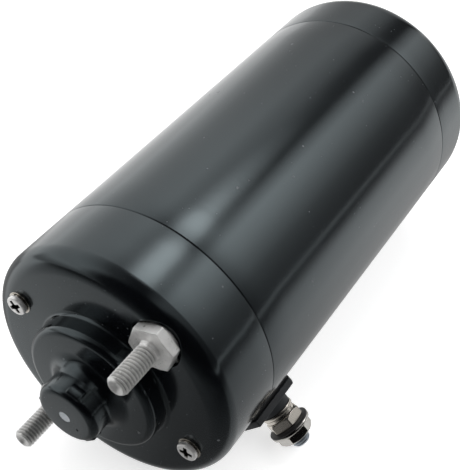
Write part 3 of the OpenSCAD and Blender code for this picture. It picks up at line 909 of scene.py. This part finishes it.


# painted shade: the faces inside each cross recess get a near-black material
def paint_recess_shade(screws):
    screws.data.materials.append(MATERIALS["recess_dark"])
    for face in screws.data.polygons:
        centre = face.center / MM
        for angle in SCREW_ANGLES:
            y = centre.y - SCREW_CIRCLE * cos(radians(angle))
            z = centre.z - SCREW_CIRCLE * sin(radians(angle))
            r = hypot(y, z)
            faces_out = face.normal.y * y + face.normal.z * z >= 0.3 * max(r, 1e-6)
            in_depth = HEAD_TOP + 0.16 < centre.x < HEAD_TOP + 1.9
            if r < 1.95 and in_depth and not faces_out:
                face.material_index = 1


def cover_screws():
    screws = to_object("cross_screws", join(
        [pan_screw(place, turn) for place, turn in zip(SCREW_PLACES, SCREW_TURNS)]), 40)
    piece(screws, "brush_plate_screws", "screw_zinc")
    paint_recess_shade(screws)
    piece(to_object("screw_split_rings", join(
        [split_ring(place, 2.03, HEAD_R + 0.02, SPRING_X0 + 0.01, SPRING_X1 - 0.01,
                    gap_deg=10, start=0.9 + i, step=0.10)
         for i, place in enumerate(SCREW_PLACES)])), "screw_spring_washers")
    x0, x1 = x_span("screw_flat_washers")
    piece(to_object("screw_flat_rings", join(
        [flat_ring(place, 2.03, HEAD_R + 0.42, x0 + 0.005, x1, 0.06, 72)
         for place in SCREW_PLACES])), "screw_flat_washers")


# ---------------------------------------------------------------- terminal
# local X points outwards, Y towards the rear of the motor, Z around the body
PLATE_Y = 1.4       # shift of the plate and seat towards the rear
STUD_HOLE_R = 3.04  # in the washers


def terminal_span(node):
    """Extent of a CAD node along the terminal axis."""
    outwards = TERMINAL.col[0].to_3d()
    reach = [vert.co.dot(outwards) / MM for vert in NODES[node].data.vertices]
    return min(reach), max(reach)


def terminal_plate():
    """Board with two cut corners and a round collar."""
    y0, y1, corner_y = PLATE_Y - 7.1, PLATE_Y + 11.1, PLATE_Y - 8.6
    outline = [(y0, -7), (y1, -7), (y1, 7), (y0, 7), (corner_y, 5.5), (corner_y, -5.5)]
    plate = to_object("terminal_plate_board",
                      prism(TERMINAL, outline, BODY_R + 1.02, BODY_R + 3.12, 0.22))
    collar = fillet([(3.6, BODY_R + 2.2), (4.95, BODY_R + 2.2), (4.95, BODY_R + 6.2, 0.4),
                     (3.6, BODY_R + 6.2)], 5)
    combine(plate, [to_object("cutter", lathe(collar, 96, TERMINAL, loop=True))], "UNION",
            sharp_deg=32)
    combine(plate, [cylinder(TERMINAL, 3.05, BODY_R - 2, BODY_R + 8, 64)])
    piece(plate, "terminal_plate")


def terminal_seat():
    """Block between the body and the plate, hollowed to the body's curve."""
    y0, y1 = PLATE_Y - 8.1, PLATE_Y + 10.5
    outline = [(y0, -6.2), (y1, -6.2), (y1, 6.2), (y0, 6.2)]
    seat = to_object("terminal_seat_block",
                     prism(TERMINAL, outline, BODY_R - 2.2, BODY_R + 0.99, 0.2))
    combine(seat, [cylinder(SHAFT, BODY_R + 0.015, -170, -90, 512),
                   cylinder(TERMINAL, 6.1, BODY_R - 5, BODY_R + 6, 64)])
    piece(seat, "terminal_seat")


def terminal_ring(name, node, outer, rounding, material=None):
    x0, x1 = terminal_span(node)
    piece(to_object(name, flat_ring(TERMINAL, STUD_HOLE_R, outer, x0, x1, rounding)),
          node, material)


def terminal_nut(name, node, turn_deg, material=None):
    """Hexagon nut with a plain bore, countersunk at both ends."""
    x0, x1 = terminal_span(node)
    bore = 3.0
    rows = hex_rows(10, x1, x0, 1, radians(turn_deg), chamfer=0.975, slope=0.74)
    rows += [(bore + 0.35, x0), (bore + 0.02, x0 + 0.33)]
    count = int((x1 - x0 - 0.7) * 8)
    rows += [(bore + 0.01, x0 + 0.35 + (x1 - x0 - 0.7) * i / count) for i in range(1, count)]
    rows += [(bore + 0.02, x1 - 0.33), (bore + 0.35, x1)]
    piece(to_object(name, lathe(rows, 144, TERMINAL, loop=True), 30), node, material)


def terminal_stud():
    """Threaded stud with a square head inside the body."""
    x0, x1 = terminal_span("terminal_bolt")
    head = BORE_R - 5.12

    def square_row(half, x):
        def row(angle):
            reach = max(abs(cos(angle)), abs(sin(angle)))
            return min(half / reach, half * sqrt(2) * 0.94), x      # corners cut to 94 %
        return row

    rows = [(0, x1), (1.2, x1), (2.1, x1 - 0.02), (2.25, x1 - 0.12), (2.5, x1 - 0.42)]
    rows += thread(x1 - 0.5, BORE_R + 1.0, 2.98, 1.0, start=0.3, per_turn=11, fade0=0.001,
                   fade1=1.0, cone=(2.5, x1 - 0.42))
    rows += [(3.0, BORE_R - 1), (3.0, BORE_R - 5.0), (3.4, head),
             square_row(4.35, head), square_row(4.5, head - 0.15),
             square_row(4.5, x0 + 0.15), square_row(4.35, x0), (1.0, x0), (0, x0)]
    piece(to_object("terminal_stud", lathe(rows, 144, TERMINAL), 38),
          "terminal_bolt", "terminal_zinc")


def terminal():
    terminal_plate()
    terminal_seat()
    piece(to_object("terminal_seal_ring",
                    seal_ring(TERMINAL, 5.25, 0.47, BODY_R + 0.51, 72, 16)), "terminal_oring")
    terminal_ring("terminal_washer_flat", "terminal_flat_washer", outer=5.14, rounding=0.14)
    x0, x1 = terminal_span("terminal_spring_washer")
    piece(to_object("terminal_washer_split", split_ring(
        TERMINAL, 3.1, 4.85, x0, x1, gap_deg=8, start=2.2, step=0.22)), "terminal_spring_washer")
    terminal_nut("terminal_nut_inner", "terminal_inner_nut", turn_deg=58)
    terminal_ring("terminal_lock_ring", "terminal_lock_washer", outer=6.58, rounding=0.2)
    terminal_ring("terminal_washer_flange", "terminal_flange_washer", outer=6.58, rounding=0.28,
                  material="bright_nickel")
    terminal_nut("terminal_nut_outer", "terminal_outer_nut", turn_deg=33,
                 material="bright_nickel")
    terminal_stud()


# ---------------------------------------------------------------- shaft
TEETH = 9
NECK_R, ROOT_R, TIP_R = 6.6, 7.4, 10.75


def tooth_row(share, x, limit=TIP_R):
    """Rounded stub teeth; share 0 is the plain neck, 1 the full tooth."""
    def row(angle):
        from_crest = (angle * TEETH / (2 * pi)) % 1.0
        from_crest = min(from_crest, 1 - from_crest)
        if from_crest < 0.125:
            height = 1.0
        elif from_crest < 0.30:
            height = (1 - (from_crest - 0.125) / 0.175) ** 0.85
        else:
            height = 0.0
        r = ROOT_R + (TIP_R - ROOT_R) * height
        return min(NECK_R + (r - NECK_R) * share, limit), x
    return row


def armature_shaft():
    """Stepped shaft with a pinion at its +X end."""
    rear_end, drive_end = x_span("armature_shaft")
    pinion_start, pinion_end = PILOT_END + 3, drive_end - 3
    rows = [    # radius, x
        (0, rear_end), (4.4, rear_end), (4.97, rear_end + 0.5), (4.97, -160),
        (4.97, REAR_FACE + 3.8), (5.9, REAR_FACE + 3.9), (6.0, REAR_FACE + 4.0),
        (6, REAR_SEAM + 11.9), (6.9, REAR_SEAM + 12.0), (7, REAR_SEAM + 12.1),
        (7, -60), (7, -17.1), (7.4, -17.05), (7.5, -16.9), (7.5, -8),
        (7.5, PILOT_END - 0.3), (7.2, PILOT_END), (NECK_R, PILOT_END + 0.1),
        (NECK_R, pinion_start - 0.05),
        tooth_row(0.88, pinion_start), tooth_row(0.97, pinion_start + 0.25),
        tooth_row(1, pinion_start + 0.6), tooth_row(1, pinion_start + 6),
        tooth_row(1, pinion_end - 1.4), tooth_row(1, pinion_end - 0.8, limit=10.2),
        tooth_row(1, pinion_end - 0.15, limit=9.6), tooth_row(0.97, pinion_end, limit=9.3),
        (NECK_R, pinion_end + 0.05), (NECK_R, drive_end - 1.05), (6.3, drive_end - 0.5),
        (5.6, drive_end), (3.2, drive_end), (1.6, drive_end - 1.6), (0, drive_end - 1.7)]
    piece(to_object("armature_shaft_turned", lathe(rows, 216)), "armature_shaft")


def oil_seal():
    """Seal around the shaft, with its lip and an open groove towards +X."""
    outline = fillet([      # radius, x, rounding
        (7.6, 7.2), (8.6, 7.9, 0.2), (9.0, 6.4, 0.4), (9.6, 4.2, 0.4), (11.6, 4.2, 0.4),
        (12.2, 7.9, 0.3), (13.98, 7.9, 0.3), (13.98, 1.6, 0.3), (8.4, 1.6, 0.3),
        (8.2, 5.6, 0.3), (7.55, 6.3)], 5)
    piece(to_object("oil_seal_lip", lathe(outline, 160, loop=True)), "oil_seal")


# ---------------------------------------------------------------- floor
def floor_glow(surface, position):
    """Painted light and shadow on the floor as reflections show it, from its place in mm."""
    axes = surface.add("SeparateXYZ", {0: position}).outputs
    x = surface.math("DIVIDE", axes[0], MM)
    y = surface.math("DIVIDE", axes[1], MM)

    def band(operation, place, amount, span, stops):
        """Ramp over span mm, after the operation has moved or turned round the place."""
        moved = surface.math(operation, place, amount)
        return surface.ramp(surface.math("DIVIDE", moved, span, clamp=True), stops)

    # painted shadow towards -X, on a slanted line
    slant = surface.math("MULTIPLY", surface.math("SUBTRACT", y, 60.0), 0.6)
    near = band("ADD", surface.math("ADD", x, slant), 450.0, 400.0, [
        (0.0, 0.04), (0.29, 0.10), (0.43, 0.24), (0.53, 0.36), (0.60, 0.46), (0.66, 0.62),
        (0.70, 0.80), (0.80, 1.02), (0.90, 1.12), (1.0, 1.15)])
    # shaded strip by the rear face, darkest on the -Y side
    strip_level = band("ADD", y, 60.0, 120.0, [
        (0.0, 0.30), (0.40, 0.28), (0.55, 0.50), (0.62, 0.95), (0.66, 1.0)])
    strip_mask = band("ADD", x, 260.0, 140.0, [
        (0.0, 0.0), (0.35, 0.9), (0.70, 1.0), (0.73, 1.0), (0.79, 0.0)])
    glow = surface.dim(near, strip_mask, strip_level)
    # fades out far towards -Y
    far = band("MULTIPLY", y, -1.0, 800.0, [
        (0.0, 1.0), (0.22, 0.92), (0.42, 0.34), (0.65, 0.12), (1.0, 0.10)])
    glow = surface.multiply(glow, far)
    # painted shadow band along the body on the -Y side
    minus_y_level = band("ADD", y, 200.0, 220.0, [
        (0.0, 1.0), (0.50, 1.0), (0.636, 0.72), (0.71, 0.50), (0.77, 0.45), (0.86, 1.0)])
    minus_y_mask = band("ADD", x, 130.0, 40.0, [(0.0, 0.0), (1.0, 1.0)])
    glow = surface.dim(glow, minus_y_mask, minus_y_level)
    # painted shadow band along the body on the +Y side
    plus_y_level = band("SUBTRACT", y, 40.0, 260.0, [
        (0.0, 1.0), (0.14, 0.34), (0.8, 0.34), (1.0, 1.0)])
    plus_y_mask = band("ADD", x, 175.0, 125.0, [(0.0, 0.0), (0.14, 1.0), (0.70, 1.0), (1.0, 0.0)])
    return surface.dim(glow, plus_y_mask, plus_y_level)


def floor_material():
    surface = Surface("floor_mat")
    cloud = surface.noise(scale=6, detail=2)
    geometry = surface.add("NewGeometry").outputs
    rays = surface.add("LightPath").outputs
    surface.set({
        "Base Color": surface.ramp(cloud, [(0.3, (0.86, 0.86, 0.86)), (0.7, (0.90, 0.90, 0.90))]),
        "Roughness": 0.6,
        "Specular IOR Level": 0.2,
        "Emission Color": (1, 1, 1),
        # brighter when seen directly
        "Emission Strength": surface.scaled(rays["Is Camera Ray"], gain=0.34, base=0.30),
    })
    glow = surface.add("Emission", {0: floor_glow(surface, geometry["Position"])}).outputs[0]
    seen = surface.add("MixShader", {0: rays["Is Glossy Ray"], 1: surface.shader.outputs[0],
                                     2: glow}).outputs[0]
    # from below, the floor is clear and lets the motor show
    under = surface.math("MULTIPLY", geometry["Backfacing"], rays["Is Camera Ray"])
    clear = surface.add("BsdfTransparent").outputs[0]
    both = surface.add("MixShader", {0: under, 1: seen, 2: clear}).outputs[0]
    surface.feed(surface.output, both)
    return surface.material


def studio_floor():
    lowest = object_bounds()[0][2]
    mesh = bmesh.new()
    bmesh.ops.create_grid(mesh, x_segments=8, y_segments=8, size=2.2)
    for vert in mesh.verts:
        vert.co.z = lowest - 0.1 * MM
    data = bpy.data.meshes.new("floor")
    mesh.to_mesh(data)
    mesh.free()
    floor = bpy.data.objects.new("floor", data)
    bpy.context.scene.collection.objects.link(floor)
    data.materials.append(floor_material())


# ---------------------------------------------------------------- world
def studio_world():
    world = bpy.data.worlds.new("studio")
    bpy.context.scene.world = world
    world.use_nodes = True
    sky = Graph(world.node_tree)
    output = sky.add("OutputWorld").inputs[0]
    direction = sky.add("TexCoord").outputs["Generated"]
    axes = sky.add("SeparateXYZ", {0: direction}).outputs
    rays = sky.add("LightPath").outputs

    def towards(x, y, z, stops):
        """Ramp over how closely the view points in a direction."""
        node = sky.add("VectorMath", {0: direction, 1: Vector((x, y, z)).normalized()},
                       operation="DOT_PRODUCT")
        return sky.ramp(node.outputs["Value"], stops)

    # soft boxes around X: 0 is +Y, 0.5 straight up, 1 is -Y
    around = sky.math("DIVIDE", sky.math("ARCTAN2", axes[2], axes[1]), pi, clamp=True)
    light = sky.ramp(around, [
        (0.0, 1.30), (0.06, 1.05), (0.15, 0.85), (0.22, 0.90), (0.33, 1.12), (0.43, 0.76),
        (0.50, 0.20), (0.57, 0.10), (0.61, 1.0), (0.66, 1.85), (0.72, 1.45), (0.78, 0.95),
        (0.86, 0.42), (0.92, 0.26), (1.0, 0.14)])
    # dark patch where the camera stands
    light = sky.multiply(light, towards(-0.88, -0.15, 0.35, [
        (0.0, 1.0), (0.66, 1.0), (0.80, 0.03), (1.0, 0.015)]))
    # dark screen on the terminal side, seen in the nut facets
    light = sky.multiply(light, towards(-0.46, -0.80, 0.40, [
        (0.0, 1.0), (0.80, 1.0), (0.90, 0.06), (1.0, 0.03)]))
    # the lights weaken towards the drive end
    light = sky.multiply(light, sky.ramp(axes[0], [
        (0.0, 1.0), (0.66, 1.0), (0.76, 0.66), (0.86, 0.50), (1.0, 0.5)]))
    # low horizon on the rear side
    horizon = sky.ramp(axes[2], [(0.0, 0.30), (0.10, 0.45), (0.25, 1.0)])
    rear_side = sky.ramp(sky.math("MULTIPLY", axes[0], -1.0), [(0.0, 0.0), (0.15, 1.0)])
    light = sky.dim(light, rear_side, horizon)
    # one soft lamp overhead, leaning towards the drive end
    lamp = towards(0.50, -0.02, 0.866, [
        (0.0, 0.0), (0.962, 0.0), (0.982, 1.0), (0.992, 3.0), (1.0, 4.0)])
    light = sky.mix(1.0, light, lamp, "ADD")
    # the sides of the boss and nose mirror a darker part of the room
    dark_room = sky.ramp(axes[0], [
        (0.0, 0.20), (0.44, 0.20), (0.50, 0.55), (0.55, 1.0), (1.0, 1.0)])
    room_side = sky.ramp(around, [(0.0, 0.0), (0.22, 0.0), (0.40, 1.0), (1.0, 1.0)])
    mirrored = sky.math("MULTIPLY", room_side, rays["Is Glossy Ray"])
    light = sky.dim(light, mirrored, dark_room)
    # stronger diffuse light
    light = sky.dim(light, rays["Is Diffuse Ray"], (1.4, 1.4, 1.4))
    # plain pale backdrop for the camera
    light = sky.mix(rays["Is Camera Ray"], light, (0.86, 0.87, 0.88))
    background = sky.add("Background", {"Color": light, "Strength": 1.05})
    sky.feed(output, background.outputs[0])


# ---------------------------------------------------------------- camera
def studio_camera():
    """Looks down at the rear cover from the -X, -Y side."""
    camera = bpy.data.cameras.new("camera")
    obj = bpy.data.objects.new("camera", camera)
    bpy.context.scene.collection.objects.link(obj)
    bpy.context.scene.camera = obj
    camera.sensor_fit = "AUTO"
    camera.sensor_width = 36.0
    camera.lens = 72.565583
    camera.clip_start = 0.01
    camera.clip_end = 20
    forward = Vector((0.62107, 0.39475, -0.67709)).normalized()
    right = Vector((0.53642, -0.84395, 0.0)).normalized()
    up = right.cross(forward).normalized()
    turn = Matrix((right, up, -forward)).transposed().to_4x4()
    place = Vector((-270.72, -112.61, 195.07)) * MM
    obj.matrix_world = Matrix.Translation(place) @ turn


# ---------------------------------------------------------------- build
dress_cad_pieces()
rear_cover()
yoke_tube()
drive_cover()
through_bolts()
bolt_washers()
body_seals()
cover_screws()
terminal()
armature_shaft()
oil_seal()
studio_floor()
studio_world()
studio_camera()
bpy.context.scene.view_settings.view_transform = "Standard"
bpy.context.scene.view_settings.look = "None"
